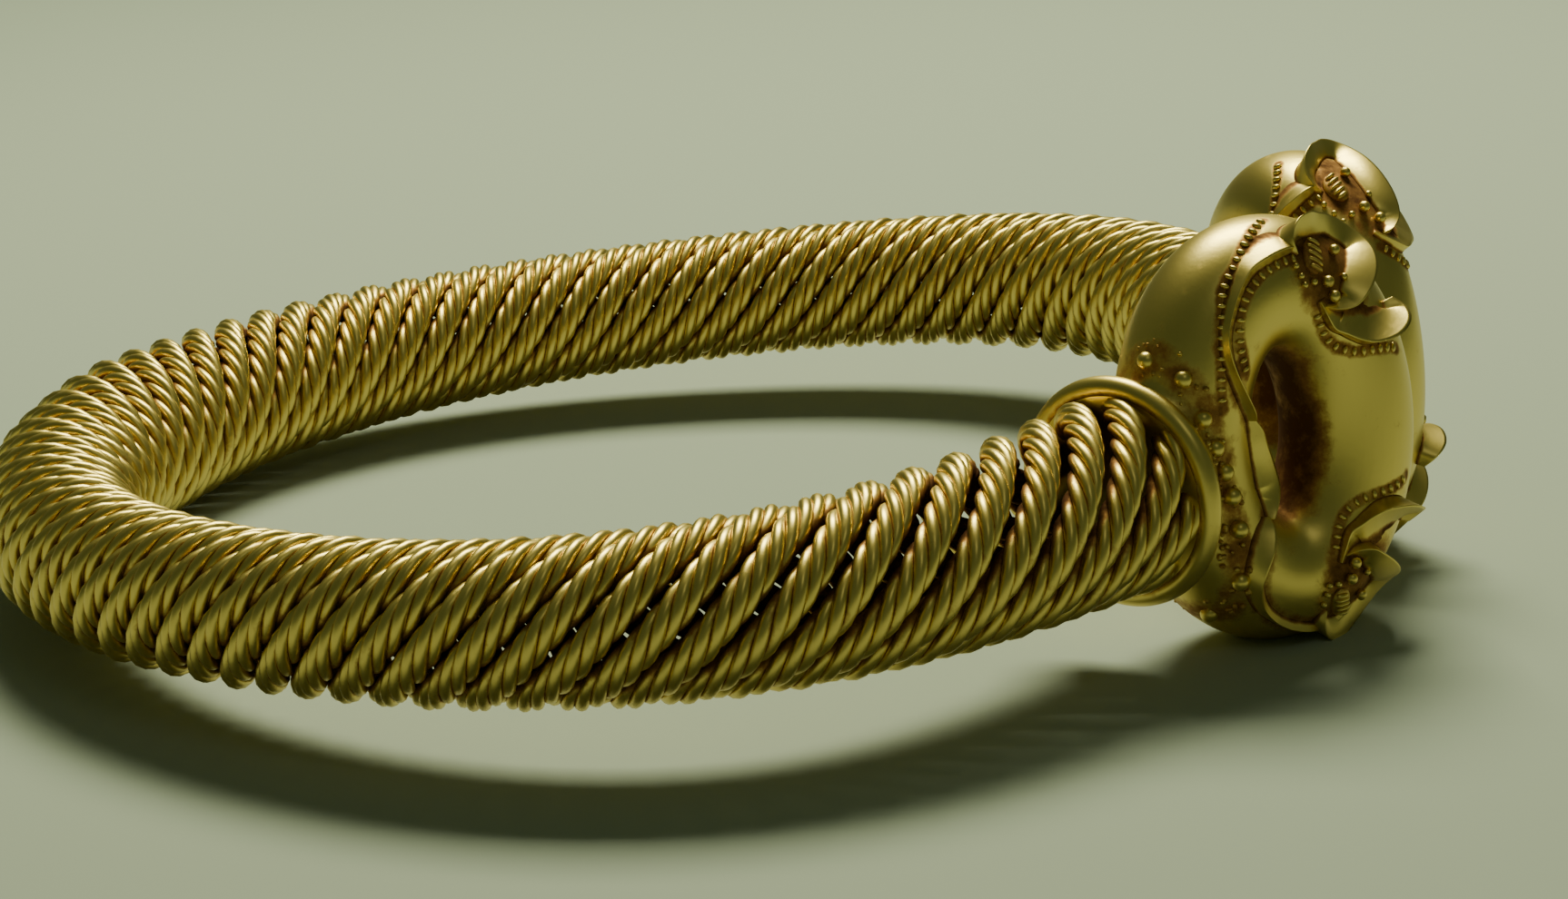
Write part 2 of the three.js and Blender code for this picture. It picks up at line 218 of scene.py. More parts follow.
class Shape:
    """Vertices in millimetres, faces, and a share of dirt and painted shade at each vertex."""

    def __init__(self):
        self.points = []
        self.faces = []
        self.dirt_and_shade = []
        self.count = 0

    def add(self, points, faces, dirt_and_shade):
        self.points.append(points)
        self.faces.extend([tuple(k + self.count for k in face) for face in faces])
        self.dirt_and_shade.append(np.broadcast_to(dirt_and_shade, len(points)))
        self.count += len(points)

    def object(self, name, matrix, mirror=False):
        points = np.concatenate(self.points)
        faces = self.faces
        if mirror:
            points = points * (1, -1, 1)
            faces = [face[::-1] for face in faces]
        points = transformed(points, matrix)
        points[:, 2] = np.maximum(points[:, 2], 0)
        mesh = bpy.data.meshes.new(name)
        mesh.from_pydata((points * MM).tolist(), [], faces)
        mesh.polygons.foreach_set("use_smooth", [True] * len(faces))
        attribute = mesh.attributes.new("dirt_and_shade", "FLOAT", "POINT")
        attribute.data.foreach_set("value", np.concatenate(self.dirt_and_shade).astype(np.float32))
        mesh.update()
        piece = bpy.data.objects.new(name, mesh)
        bpy.context.scene.collection.objects.link(piece)
        return piece


def tube_faces(rows, sides, closed=False):
    """Quads of a skin over rows of points, each row a closed loop, with caps where the rows don't close."""
    faces = []
    for i in range(rows if closed else rows - 1):
        here = i * sides
        ahead = (i + 1) % rows * sides
        for j in range(sides):
            k = (j + 1) % sides
            faces.append((here + j, here + k, ahead + k, ahead + j))
    if not closed:
        faces.append(tuple(range(sides - 1, -1, -1)))
        faces.append(tuple(range((rows - 1) * sides, rows * sides)))
    return faces


# Ropes of wires

def rope_lines(index):
    """A rope's centreline at even steps of its own length, with all that its wires need."""
    reach = HALF_LENGTH + ROPE_IN_COLLAR
    s = np.linspace(-reach, reach, 4 * HOOP_SAMPLES)
    radius = bundle_radius(s) - ROPE_DIAMETER / 2
    slope = math.tan(ROPE_ANGLE)
    turned = np.cumsum(slope / radius) * (s[1] - s[0])
    turned -= turned[len(s) // 2]
    angle = ROPE_START + 2 * math.pi * index / ROPES - turned
    point, outward, curvature = hoop_at(s)
    radial = outward * np.cos(angle)[:, None] + UP * np.sin(angle)[:, None]
    centre = point + radial * radius[:, None]
    stretch = 1 + curvature * radius * np.cos(angle)
    room = 2 * radius * math.sin(math.pi / ROPES) / np.sqrt(1 + (slope / stretch) ** 2)
    squeeze = np.minimum(room / ROPE_DIAMETER, 1)
    length = np.append(0, np.cumsum(np.linalg.norm(np.diff(centre, axis=0), axis=1)))
    count = round(length[-1] / WIRE_LAY * WIRE_STEPS_PER_TURN)
    even = np.linspace(0, length[-1], count + 1)

    def resampled(values):
        return np.interp(even, length, values)

    centre, radial, point = (
        np.stack([resampled(v[:, k]) for k in range(3)], 1) for v in (centre, radial, point)
    )
    return even, centre, radial, point, resampled(squeeze), resampled(radius)


def wander(length, generator, amount, wavelength=35.0):
    """A slow drift about 1, different for each wire, as in wire that is drawn and twisted by hand."""
    phases = generator.uniform(0, 2 * math.pi, 3)
    stretches = (1, 1.7, 2.9)
    waves = [
        np.sin(2 * math.pi * length / (wavelength * stretch) + phase)
        for stretch, phase in zip(stretches, phases)
    ]
    return 1 + amount * sum(waves) / len(waves)


def add_wire(shape, lines, phase, generator):
    length, centre, radial, point, squeeze, radius = lines
    along = unit(np.gradient(centre, axis=0))
    first = unit(radial - along * np.sum(radial * along, 1)[:, None])
    second = np.cross(along, first)
    turn = phase - 2 * math.pi * length / WIRE_LAY
    ring_radius = WIRE_RING_RADIUS * squeeze * wander(length, generator, WIRE_UNEVENNESS)
    out = first * np.cos(turn)[:, None] + second * np.sin(turn)[:, None]
    wire = centre + out * ring_radius[:, None]
    ahead = unit(np.gradient(wire, axis=0))
    out = unit(out - ahead * np.sum(out * ahead, 1)[:, None])
    aside = np.cross(ahead, out)
    wire_radius = WIRE_DIAMETER / 2 * squeeze * wander(length, generator, WIRE_UNEVENNESS)
    around = 2 * math.pi * np.arange(WIRE_SIDES) / WIRE_SIDES
    offset = out[:, None] * np.cos(around)[:, None] + aside[:, None] * np.sin(around)[:, None]
    skin = wire[:, None] + offset * wire_radius[:, None, None]
    # Painted shade: the wires darken in the grooves between them and deeper in the bundle between the ropes
    from_rope = np.linalg.norm(skin - centre[:, None], axis=2)
    groove = (WIRE_RING_RADIUS + WIRE_DIAMETER / 2) * squeeze[:, None] - from_rope
    from_middle = np.linalg.norm(skin - point[:, None], axis=2)
    depth = radius[:, None] + ROPE_DIAMETER / 2 - from_middle
    dirt_and_shade = np.maximum(smoothstep(*GROOVE_SHADE_DEPTH, groove), smoothstep(*BUNDLE_SHADE_DEPTH, depth))
    faces = tube_faces(len(length), WIRE_SIDES)
    shape.add(skin.reshape(-1, 3), faces, dirt_and_shade.ravel())


def make_rope(index, lying):
    generator = np.random.default_rng(index)
    shape = Shape()
    lines = rope_lines(index)
    start = generator.uniform(0, 2 * math.pi)
    for wire in range(WIRES):
        add_wire(shape, lines, start + 2 * math.pi * wire / WIRES, generator)
    return shape.object(f"wires_{index + 1}", lying)


# Ring terminal, in its own frame: X inwards to the other terminal, Y to the front, Z up

def on_ring(around, across, lift=0.0):
    """A place on the ring, by its angle about the hole and its angle about the tube, in degrees."""
    around, across, lift = np.broadcast_arrays(np.radians(around), np.radians(across), lift)
    cosine, sine = np.cos(around), np.sin(around)
    flat = np.zeros_like(cosine)
    centre = np.stack((RING_BREADTH_RADIUS * cosine, flat, RING_HEIGHT_RADIUS * sine), -1)
    away = unit(np.stack((RING_HEIGHT_RADIUS * cosine, flat, RING_BREADTH_RADIUS * sine), -1))
    radius = RING_TUBE_RADIUS * lerp(1, RING_HOLE_SIDE, (1 - np.cos(across)) / 2) + lift
    place = centre + away * (radius * np.cos(across))[..., None]
    place[..., 1] = radius * np.sin(across)
    return place


neck_axis = np.array((math.cos(RING_TURN), -math.sin(RING_TURN), 0))
neck_side = np.array((math.sin(RING_TURN), math.cos(RING_TURN), 0))
collar_centre = np.array((-NECK_REACH, 0, -RING_RISE))
collar_radius = BUNDLE_COLLAR + COLLAR_MARGIN


def neck_section(share):
    limb = np.array((-RING_BREADTH_RADIUS, 0, 0))
    shoulder = collar_radius * math.cos(share * math.pi / 2)
    return lerp(collar_centre, limb, share), math.hypot(shoulder, RING_TUBE_RADIUS * NECK_END_SHARE * share)


def round_section(centre, radius, sides):
    angle = 2 * math.pi * np.arange(sides)[:, None] / sides
    return centre + radius * (neck_side * np.cos(angle) + UP * np.sin(angle))


def casting_parts():
    """Ring and neck as closed skins that overlap."""
    around = 360 * np.arange(RING_STEPS)[:, None] / RING_STEPS
    across = 360 * np.arange(CASTING_SIDES)[None] / CASTING_SIDES
    ring = on_ring(around, across).reshape(-1, 3)
    sections = [neck_section(share) for share in np.linspace(0, 1, NECK_STEPS)]
    neck = np.concatenate([round_section(centre, radius, CASTING_SIDES) for centre, radius in sections])
    ring_faces = tube_faces(RING_STEPS, CASTING_SIDES, True)
    return (ring, ring_faces), (neck, tube_faces(NECK_STEPS, CASTING_SIDES))


def remeshed(parts, voxel):
    """One skin round all the parts, as points and quads."""
    points = np.concatenate([part[0] for part in parts])
    faces = []
    start = 0
    for part_points, part_faces in parts:
        faces += [tuple(k + start for k in face) for face in part_faces]
        start += len(part_points)
    mesh = bpy.data.meshes.new("casting")
    mesh.from_pydata(points.tolist(), [], faces)
    scratch = bpy.data.objects.new("casting", mesh)
    bpy.context.scene.collection.objects.link(scratch)
    modifier = scratch.modifiers.new("Remesh", "REMESH")
    modifier.mode = "VOXEL"
    modifier.voxel_size = voxel
    bpy.context.view_layer.update()
    shown = scratch.evaluated_get(bpy.context.evaluated_depsgraph_get()).to_mesh()
    out = np.zeros(len(shown.vertices) * 3)
    shown.vertices.foreach_get("co", out)
    quads = [tuple(polygon.vertices) for polygon in shown.polygons]
    edges = np.zeros(len(shown.edges) * 2, int)
    shown.edges.foreach_get("vertices", edges)
    bpy.data.objects.remove(scratch)
    return out.reshape(-1, 3), quads, edges.reshape(-1, 2)


def smoothed(points, edges, weight, rounds):
    """Moves each point towards the middle of its neighbours, by its weight, again and again."""
    ends = np.concatenate((edges[:, 0], edges[:, 1]))
    others = np.concatenate((edges[:, 1], edges[:, 0]))
    count = np.bincount(ends, minlength=len(points))[:, None]
    for _ in range(rounds):
        total = np.stack([np.bincount(ends, points[others, k], len(points)) for k in range(3)], 1)
        points = lerp(points, total / count, weight[:, None])
    return points


def distance_to(points, targets):
    """Each point's distance to the nearest of the targets."""
    tree = KDTree(len(targets))
    for i, target in enumerate(targets):
        tree.insert(target, i)
    tree.balance()
    return np.array([tree.find(p)[2] for p in points])


def casting():
    parts = casting_parts()
    points, quads, edges = remeshed(parts, CASTING_VOXEL)
    points = smoothed(points, edges, np.full(len(points), 0.5), 3)
    from_ring = distance_to(points, parts[0][0])
    from_neck = distance_to(points, parts[1][0])
    crease = smoothstep(*CREASE_REACH, from_ring) * smoothstep(*CREASE_REACH, from_neck)
    points = smoothed(points, edges, 0.7 * crease, CREASE_ROUNDS)
    return points, quads


def base_dirt_and_shade(points, upper_move):
    """Dirt and painted shade of the plain casting: painted shade deep in the hole and beside the raised
    ornament, dirt among the pellets.
    """
    x, y, z = points.T
    inside = np.hypot(x / RING_BREADTH_RADIUS, z / RING_HEIGHT_RADIUS)
    # Painted shade deep in the hole
    hole = smoothstep(*HOLE_SHADE_SHARE, inside) * smoothstep(*HOLE_SHADE_DEPTH, y)
    row = np.array([surface_place(pellet_share(turn), turn) for turn in np.linspace(0, 2 * math.pi, 120)])
    moves = [upper_move or list, upside_down]
    rows = [*RIDGE_TICKS, *(move(SADDLE_TICKS) for move in moves)]
    middles = [place for move in moves for place in move(CLUSTER_SHADE_PLACES)]
    if upper_move:
        rows += [upper_move(places[:FAR_TICK_PLACES]) for places in RIDGE_TICKS]
    ticks = np.concatenate([on_ring(*curve_places(places, 80).T) for places in rows])
    crests = [on_ring(*curve_places(stations, 80)[:, :2].T) for stations in (RIDGE, LIP, LOBE_RIM)]
    clusters = on_ring(*np.array(middles, float).T)
    # Painted shade beside the bars, ridges and clusters; dirt round the pellets
    return np.maximum.reduce((
        hole,
        0.55 * smoothstep(*PELLET_DIRT_REACH, distance_to(points, row)),
        0.62 * smoothstep(*TICK_SHADE_REACH, distance_to(points, ticks)),
        0.55 * smoothstep(*CREST_SHADE_REACH, distance_to(points, np.concatenate(crests))),
        0.75 * smoothstep(*CLUSTER_SHADE_REACH, distance_to(points, clusters)),
    ))


# Raised ornament: forms along curves on the ring

SHARP = (1.0, 1.5)
RIDGE_PROFILE_POINTS = 29

# The long ridge, from the top down the outer limb, then the sinuous lip and the bottom lobe's rim.
# Each place: angle around, angle across, width to the left and to the right of the crest, height
RIDGE = (
    (84, 50, 2.4, 0.4, 0.5), (89, 52, 3.4, 0.5, 1.3), (97, 54, 3.4, 0.6, 1.5), (105, 55, 2.6, 0.7, 1.5),
    (112, 59, 1.6, 0.8, 1.4), (121, 65, 1.2, 0.9, 1.3), (130, 71, 1.0, 0.9, 1.3), (138, 80, 1.0, 0.9, 1.3),
    (146, 93, 1.0, 0.9, 1.3), (154, 107, 1.0, 0.9, 1.4), (162, 121, 0.9, 0.8, 1.4), (168, 130, 0.7, 0.6, 1.0),
)
LIP = (
    (162, 122, 0.6, 0.4, 0.5), (171, 133, 1.2, 0.7, 1.7), (181, 142, 1.8, 0.8, 2.1),
    (193, 148, 2.7, 0.8, 2.5), (206, 147, 3.2, 0.8, 2.5), (215, 137, 2.4, 0.6, 1.9),
    (221, 122, 0.8, 0.5, 1.0),
)
LOBE_RIM = (
    (218, 121, 1.0, 0.5, 0.6), (223, 113, 2.0, 0.7, 1.3), (229, 100, 2.6, 0.8, 1.6), (233, 85, 2.4, 0.8, 1.6),
    (237, 73, 2.0, 0.8, 1.4), (244, 62, 1.4, 0.8, 1.2), (252, 55, 1.0, 0.7, 1.1), (261, 49, 0.8, 0.7, 1.1),
    (270, 43, 0.8, 0.7, 1.1), (280, 36, 0.8, 0.7, 1.0), (288, 40, 0.5, 0.5, 0.5),
)

# A cluster: a horn that runs on as a bowl's rim, and the flared rim of the saddle below it
BOWL = (
    (84, 55, 0.4, 0.4, 0.4), (86, 46, 1.0, 1.2, 1.5), (84, 37, 1.2, 1.6, 2.6), (79, 30, 1.3, 1.5, 2.9),
    (74, 24, 1.3, 0.9, 2.4), (68, 18, 1.4, 0.7, 2.2), (61, 16, 1.8, 0.6, 2.2), (56, 22, 2.4, 0.6, 2.4),
    (54, 35, 2.8, 0.6, 2.6), (53, 52, 2.9, 0.6, 2.6), (53, 68, 2.7, 0.6, 2.4), (54, 80, 1.9, 0.6, 1.9),
    (59, 88, 1.0, 0.5, 1.2), (65, 91, 0.4, 0.3, 0.5),
)
SADDLE = (
    (70, 90, 0.4, 1.0, 0.5), (62, 97, 0.5, 2.0, 0.9), (53, 101, 0.5, 3.2, 1.2), (46, 97, 0.5, 4.0, 1.6),
    (40, 92, 0.5, 4.4, 2.1), (35, 84, 0.6, 4.4, 2.7), (32, 70, 0.6, 4.2, 3.2), (32, 54, 0.6, 3.6, 3.2),
    (34, 42, 0.5, 2.4, 2.4), (38, 38, 0.3, 1.0, 1.2),
)
RIDGE_TICKS = (
    ((88, 14), (95, 26), (106, 42), (117, 51), (129, 66), (144, 78), (160, 87)),
    ((84, 57), (93, 59), (103, 62), (114, 68), (124, 78), (134, 91), (143, 108)),
)
SADDLE_TICKS = ((68, 99), (61, 105), (52, 110), (42, 109), (34, 98), (30, 84), (27, 70), (23, 54))
PAD = (77, 55)
# Middles of the painted shade in each cluster's bowl
CLUSTER_SHADE_PLACES = ((75, 54), (66, 42), (60, 60), (66, 74))
BALLS = (
    (70, 73, 0.75), (64, 81, 0.75), (68, 45, 0.7), (66, 20, 0.45), (77, 76, 0.45), (82, 79, 0.4),
    (84, 72, 0.4), (86, 64, 0.4), (62, 62, 0.45),
)

# The far terminal carries its cluster a quarter turn round, on top of the inner limb
CLUSTER_MIDDLE = (75, 54)
FAR_CLUSTER_MIDDLE = (65, 1)
ACROSS_TO_AROUND = 0.53
AROUND_TO_ACROSS = 1.82

# How much of the ridge and of its bars the far terminal repeats beside its upper cluster
FAR_RIDGE_PLACES = 8
FAR_TICK_PLACES = 5


def curve_places(places, steps):
    """Rows of numbers that run smoothly through a few chosen ones."""
    places = np.array(places, float)
    share = np.linspace(0, 1, steps + 1)
    return np.stack([catmull_rom(places[:, k], share) for k in range(places.shape[1])], 1)


def directions(around, across):
    """Along a curve on the ring, to its right and away from the ring."""
    base = on_ring(around, across)
    normal = unit(on_ring(around, across, 1.0) - base)
    along = unit(np.gradient(base, axis=0))
    return base, along, unit(np.cross(along, normal)), normal


def degrees_per_mm(around, across, direction):
    """How the two angles grow over one millimetre in a direction along the ring's surface."""
    here = on_ring(around, across)
    rates = []
    for step in ((0.5, 0), (0, 0.5)):
        change = (on_ring(around + step[0], across + step[1]) - here) * 2
        rates.append(np.sum(direction * change, -1) / np.sum(change * change, -1))
    return rates


def ridge(shape, stations, left=SHARP, right=SHARP, steps=120, sink=0.7, shade_height=0.6):
    """A raised form under a crest line, with a profile of its own on either side."""
    around, across, left_width, right_width, height = curve_places(stations, steps).T
    _, _, aside, _ = directions(around, across)
    by_around, by_across = degrees_per_mm(around, across, aside)
    place = np.linspace(-1, 1, RIDGE_PROFILE_POINTS)
    width = np.where(place < 0, left_width[:, None], right_width[:, None])
    power, outer_power = (np.where(place < 0, a, b) for a, b in zip(left, right))
    rise = height[:, None] * (1 - np.abs(place) ** power) ** outer_power
    offset = width * place
    lift = np.concatenate((rise, np.full((len(rise), 2), -sink)), 1)
    offset = np.concatenate((offset, offset[:, [-1, 0]]), 1)
    around = around[:, None] + offset * by_around[:, None]
    across = across[:, None] + offset * by_across[:, None]
    skin = on_ring(around, across, lift)
    # Painted shade: darker towards the foot of the form, where it meets the ring
    dirt_and_shade = 0.9 * smoothstep(shade_height, 0, lift)
    shape.add(skin.reshape(-1, 3), tube_faces(*skin.shape[:2]), dirt_and_shade.ravel())


def ellipsoid(shape, centre, axes, dirt_and_shade=0.1, rings=8):
    """Axes: three vectors, each half as long as the form."""
    sides = 2 * rings
    polar = math.pi * np.arange(1, rings)[:, None] / rings
    turn = 2 * math.pi * np.arange(sides)[None] / sides
    flat = np.sin(polar)
    skin = np.stack((flat * np.cos(turn), flat * np.sin(turn), np.cos(polar) + 0 * turn), -1)
    shape.add(centre + skin.reshape(-1, 3) @ np.array(axes), tube_faces(rings - 1, sides), dirt_and_shade)


def ball(shape, centre, radius, rings=10):
    ellipsoid(shape, centre, radius * np.eye(3), rings=rings)


def tick_row(shape, places, pitch=1.25, length=1.3, width=0.62, height=0.42):
    """Short bars side by side across a line."""
    around, across = curve_places(places, 400).T
    base, along, aside, normal = directions(around, across)
    run = np.append(0, np.cumsum(np.linalg.norm(np.diff(base, axis=0), axis=1)))
    for k in np.searchsorted(run, np.arange(pitch / 2, run[-1], pitch)):
        axes = (along[k] * width / 2, aside[k] * length / 2, normal[k] * height)
        ellipsoid(shape, base[k], axes, rings=5)


def swapped(stations):
    """The same form where its left and right change places."""
    return [(around, across, right, left, height) for around, across, left, right, height in stations]


def upside_down(places):
    return [(-around, *rest) for around, *rest in places]


def quarter_turned(places):
    return [
        (
            FAR_CLUSTER_MIDDLE[0] - (across - CLUSTER_MIDDLE[1]) * ACROSS_TO_AROUND,
            FAR_CLUSTER_MIDDLE[1] - (around - CLUSTER_MIDDLE[0]) * AROUND_TO_ACROSS,
            *rest,
        )
        for around, across, *rest in places
    ]


def pad(shape, places):
    """An oval pad with diagonal bars, along a short line."""
    around, across = np.array(places).T
    base, along, aside, normal = (v[1] for v in directions(around, across))
    ellipsoid(shape, base, (along * 2.3, aside * 1.5, normal * 0.7), 0.55, rings=12)
    bar = unit(aside + 0.45 * along)
    for k in range(-2, 3):
        reach = math.sqrt(1 - (k / 3.1) ** 2) * 1.25
        side = np.cross(normal, bar)
        axes = (bar * reach, side * 0.27, normal * 0.5)
        ellipsoid(shape, base + along * k * 0.85 + normal * 0.45, axes, 0.25, rings=6)


def cluster(shape, move=None):
    """Bowl, saddle, pad and balls, as drawn or moved by a function that mirrors them."""
    def placed(stations):
        return swapped(move(stations)) if move else stations

    inside, outside = (1.0, 0.85), (1.0, 1.9)
    ridge(shape, placed(BOWL), *((SHARP, inside) if move else (inside, SHARP)), steps=160)
    ridge(shape, placed(SADDLE), *((outside, SHARP) if move else (SHARP, outside)))
    line = [(PAD[0], PAD[1] + k) for k in (-1, 0, 1)]
    pad(shape, move(line) if move else line)
    for around, across, radius in (move(BALLS) if move else BALLS):
        ball(shape, on_ring(around, across, radius * 0.8), radius, 8)
    tick_row(shape, move(SADDLE_TICKS) if move else SADDLE_TICKS)


def surface_place(share, turn):
    """A place on the neck, or on the ring where that is further out."""
    centre, radius = neck_section(share)
    out = neck_side * math.cos(turn) + UP * math.sin(turn)
    along = np.radians(np.arange(0, 360, 3))
    ring = np.stack((RING_BREADTH_RADIUS * np.cos(along), 0 * along, RING_HEIGHT_RADIUS * np.sin(along)), 1)
    place = centre + radius * out
    while np.linalg.norm(ring - place, axis=1).min() < RING_TUBE_RADIUS - PELLET_SINK:
        place = place + PELLET_SEARCH_STEP * out
    return place


def pellet_share(turn):
    """The row of pellets slants: it lies nearest the collar at one turn about the neck."""
    return PELLET_SHARE_MIDDLE - PELLET_SHARE_SWING * math.cos(turn - PELLET_LEAST_TURN)


def pellets(shape):
    """A row of pellets round the neck, in a rough band of grains."""
    for turn in 2 * math.pi * np.arange(PELLETS) / PELLETS:
        ball(shape, surface_place(pellet_share(turn), turn), PELLET_RADIUS)
    generator = np.random.default_rng(5)
    for turn in generator.uniform(0, 2 * math.pi, GRAINS):
        place = surface_place(pellet_share(turn) + generator.uniform(*GRAIN_SHARES), turn)
        ellipsoid(shape, place, np.diag(generator.uniform(*GRAIN_RADII, 3)), 0.45, rings=4)


def collar_bead(shape):
    steps, sides = 160, 28
    turn = 2 * math.pi * np.arange(steps)[:, None, None] / steps
    angle = 2 * math.pi * np.arange(sides)[None, :, None] / sides
    out = neck_side * np.cos(turn) + UP * np.sin(turn)
    middle = collar_centre + neck_axis * BEAD_RADIUS * BEAD_SEAT_SHARE
    skin = middle + out * (collar_radius + BEAD_RADIUS * np.cos(angle))
    skin = skin + neck_axis * BEAD_RADIUS * np.sin(angle)
    # Painted shade on the bead's side towards the collar, where it meets the neck
    dirt_and_shade = 0.6 * smoothstep(0.2, -0.6, np.broadcast_to(np.cos(angle), skin[..., :1].shape))
    shape.add(skin.reshape(-1, 3), tube_faces(steps, sides, True), dirt_and_shade.ravel())


def make_terminal(name, matrix, mirror, base, upper_move):
    shape = Shape()
    points, quads = base
    shape.add(points, quads, base_dirt_and_shade(points, upper_move))
    ridge(shape, RIDGE, steps=200)
    ridge(shape, LIP, (1.0, 1.1), SHARP)
    ridge(shape, LOBE_RIM, (1.0, 1.2), SHARP, steps=160)
    for places in RIDGE_TICKS:
        tick_row(shape, places)
    if upper_move:
        ridge(shape, swapped(upper_move(RIDGE[:FAR_RIDGE_PLACES])), steps=100)
        for places in RIDGE_TICKS:
            tick_row(shape, upper_move(places[:FAR_TICK_PLACES]))
    cluster(shape, upper_move)
    cluster(shape, upside_down)
    pellets(shape)
    collar_bead(shape)
    return shape.object(name, matrix, mirror)


# Materials

def node(tree, kind, **settings):
    made = tree.nodes.new(kind)
    for key, value in settings.items():
        setattr(made, key, value)
    return made


def noise(tree, place, per_metre, detail, roughness=0.5):
    made = node(tree, "ShaderNodeTexNoise")
    made.inputs["Scale"].default_value = per_metre
    made.inputs["Detail"].default_value = detail
    made.inputs["Roughness"].default_value = roughness
    tree.links.new(place, made.inputs["Vector"])
    return made.outputs["Fac"]


def remapped(tree, value, start, end):
    """A value that runs between two numbers, brought to run between two others."""
    made = node(tree, "ShaderNodeMapRange")
    for name, number in zip(("From Min", "From Max", "To Min", "To Max"), (*start, *end)):
        made.inputs[name].default_value = number
    tree.links.new(value, made.inputs["Value"])
    return made.outputs[0]


def dirt_and_shade_level(tree, place):
    """The dirt and painted shade attribute, broken up by noise."""
    attribute = node(tree, "ShaderNodeAttribute", attribute_name="dirt_and_shade")
    lowered = node(tree, "ShaderNodeMath", operation="MULTIPLY_ADD")
    tree.links.new(attribute.outputs["Fac"], lowered.inputs[0])
    lowered.inputs[1].default_value = 1.0
    lowered.inputs[2].default_value = -1.0
    broken = node(tree, "ShaderNodeMath", operation="MULTIPLY_ADD", use_clamp=True)
    tree.links.new(noise(tree, place, PATCHES_PER_METRE, 8, 0.7), broken.inputs[0])
    broken.inputs[1].default_value = 1.7
    tree.links.new(lowered.outputs[0], broken.inputs[2])
    return broken.outputs[0]


def gold_ramp(tree, soiled_and_shaded):
    ramp = node(tree, "ShaderNodeValToRGB")
    clean, dirt_and_shade = ramp.color_ramp.elements
    clean.position = 0.05
    clean.color = CLEAN_GOLD
    dirt_and_shade.position = 0.85
    # The dark end of the ramp is painted shade in the hollows as well as dirt
    dirt_and_shade.color = DIRT_AND_SHADE
    ramp.color_ramp.elements.new(0.45).color = STAINED_AND_SHADED_GOLD
    tree.links.new(soiled_and_shaded, ramp.inputs["Fac"])
    return ramp.outputs["Color"]


def gold(name):
    material = bpy.data.materials.new(name)
    material.use_nodes = True
    tree = material.node_tree
    shader = tree.nodes["Principled BSDF"]
    shader.inputs["Specular IOR Level"].default_value = 0.1
    place = node(tree, "ShaderNodeTexCoord").outputs["Object"]
    soiled_and_shaded = dirt_and_shade_level(tree, place)
    tree.links.new(gold_ramp(tree, soiled_and_shaded), shader.inputs["Base Color"])
    tree.links.new(remapped(tree, soiled_and_shaded, (0.3, 0.9), (1.0, 0.35)), shader.inputs["Metallic"])
    tree.links.new(remapped(tree, soiled_and_shaded, (0, 0.8), (0.36, 0.85)), shader.inputs["Roughness"])
    bump = node(tree, "ShaderNodeBump")
    bump.inputs["Strength"].default_value = 0.06
    bump.inputs["Distance"].default_value = 0.0002
    tree.links.new(noise(tree, place, PITS_PER_METRE, 4), bump.inputs["Height"])
    tree.links.new(bump.outputs["Normal"], shader.inputs["Normal"])
    return material


def floor_material():
    material = bpy.data.materials.new("pale_floor")
    material.use_nodes = True
    shader = material.node_tree.nodes["Principled BSDF"]
    shader.inputs["Base Color"].default_value = FLOOR_COLOUR
    shader.inputs["Roughness"].default_value = 0.8
    return material


# Stage

def make_floor():
    bpy.ops.mesh.primitive_plane_add(size=6)
    floor = bpy.context.object
    floor.name = "floor"
    floor.data.materials.append(floor_material())


def make_camera(lying):
    azimuth, elevation, roll = CAMERA_AZIMUTH, CAMERA_ELEVATION, CAMERA_ROLL
    back = Vector((
        math.sin(azimuth) * math.cos(elevation),
        -math.cos(azimuth) * math.cos(elevation),
        math.sin(elevation),
    ))
    level = Vector((math.cos(azimuth), math.sin(azimuth), 0))
    upright = back.cross(level)
    right = level * math.cos(roll) + upright * math.sin(roll)
    upward = upright * math.cos(roll) - level * math.sin(roll)
    place = Vector(CAMERA_TARGET) + back * CAMERA_DISTANCE
    turn = Matrix((right, upward, back)).transposed().to_4x4()
    pose = lying @ Matrix.Translation(place) @ turn
    pose.translation *= MM
    data = bpy.data.cameras.new("camera")
    data.sensor_fit = "HORIZONTAL"
    data.sensor_width = SENSOR_WIDTH
    data.lens = FOCAL_PIXELS / PHOTO_WIDTH * SENSOR_WIDTH
    data.clip_start = 0.02
    camera = bpy.data.objects.new("camera", data)
    camera.matrix_world = pose
    bpy.context.scene.collection.objects.link(camera)
    bpy.context.scene.camera = camera


def area_light(name, place, target, size, power, colour):
    data = bpy.data.lights.new(name, "AREA")
    data.shape = "RECTANGLE"
    data.size, data.size_y = size
    data.energy = power
    data.color = colour
    light = bpy.data.objects.new(name, data)
    light.location = place
    light.rotation_euler = (Vector(target) - Vector(place)).to_track_quat("-Z", "Y").to_euler()
    bpy.context.scene.collection.objects.link(light)


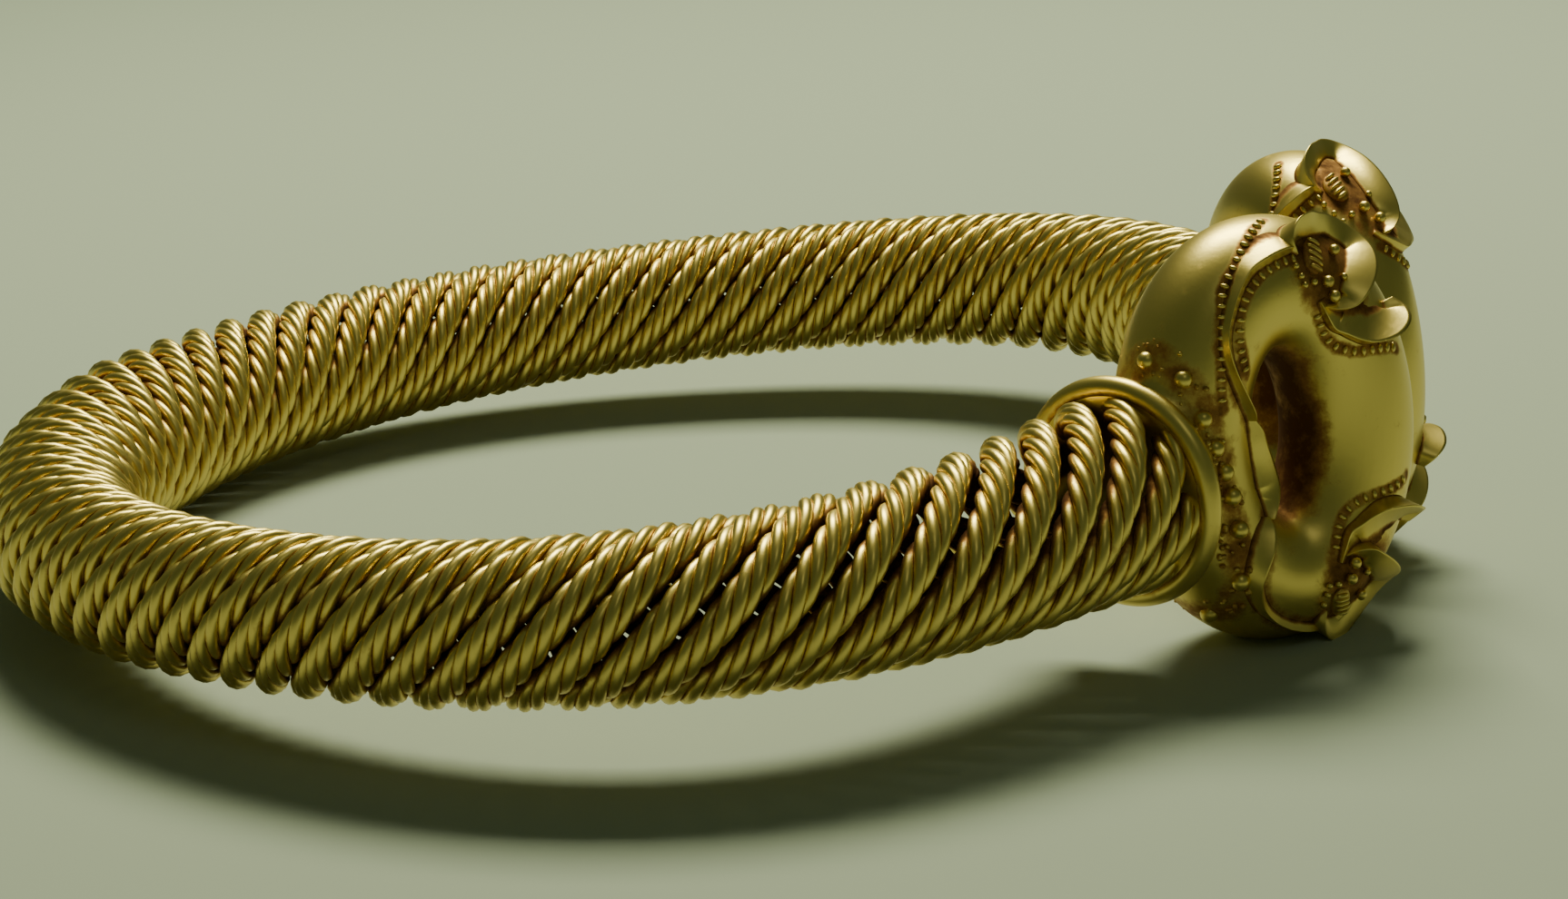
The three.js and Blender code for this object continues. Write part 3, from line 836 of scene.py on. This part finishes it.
def make_lights():
    area_light(
        "key", place=(-0.10, 0.45, 0.80), target=(0, 0, 0), size=(0.45, 0.35),
        power=12, colour=(0.98, 0.99, 0.67),
    )
    area_light(
        "front", place=(0.55, -0.55, 0.90), target=(0.03, 0, 0.02), size=(0.35, 0.35),
        power=0.3, colour=(0.95, 1.0, 0.80),
    )
    world = bpy.data.worlds.new("world")
    world.use_nodes = True
    background = world.node_tree.nodes["Background"]
    background.inputs["Color"].default_value = (0.13, 0.17, 0.10, 1)
    background.inputs["Strength"].default_value = 0.45
    bpy.context.scene.world = world


# The whole scene

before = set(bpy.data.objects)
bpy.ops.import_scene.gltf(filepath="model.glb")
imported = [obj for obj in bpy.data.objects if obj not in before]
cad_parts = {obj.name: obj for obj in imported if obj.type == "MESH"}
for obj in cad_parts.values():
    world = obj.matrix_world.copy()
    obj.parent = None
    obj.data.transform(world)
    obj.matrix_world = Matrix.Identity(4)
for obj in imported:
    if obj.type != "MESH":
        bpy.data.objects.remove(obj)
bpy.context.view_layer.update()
lying = lying_matrix()
make_camera(lying)

wire_gold = gold("worn_wire_gold_with_painted_shade")
for index in range(ROPES):
    rope = make_rope(index, lying)
    rope.data.materials.append(wire_gold)
    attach(rope, "root")
    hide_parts(f"rope_{index + 1}")

far_centre = ring_centre + FAR_SHIFT
far_place = lying @ Matrix((
    (ring_inward[0], ring_front[0], 0, far_centre[0]),
    (ring_inward[1], ring_front[1], 0, far_centre[1]),
    (0, 0, 1, far_centre[2]),
    (0, 0, 0, 1),
))
near_place = lying @ Matrix((
    (ring_inward[0], -ring_front[0], 0, ring_centre[0]),
    (-ring_inward[1], ring_front[1], 0, -ring_centre[1]),
    (0, 0, 1, ring_centre[2]),
    (0, 0, 0, 1),
))
cast_gold = gold("worn_cast_gold_with_painted_shade")
base = casting()
for node_name, place, mirror, upper_move in (
    ("terminal_right", far_place, False, quarter_turned),
    ("terminal_left", near_place, True, None),
):
    terminal = make_terminal(f"{node_name}_cast", place, mirror, base, upper_move)
    terminal.data.materials.append(cast_gold)
    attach(terminal, "root")
    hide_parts(node_name)

make_floor()
make_lights()
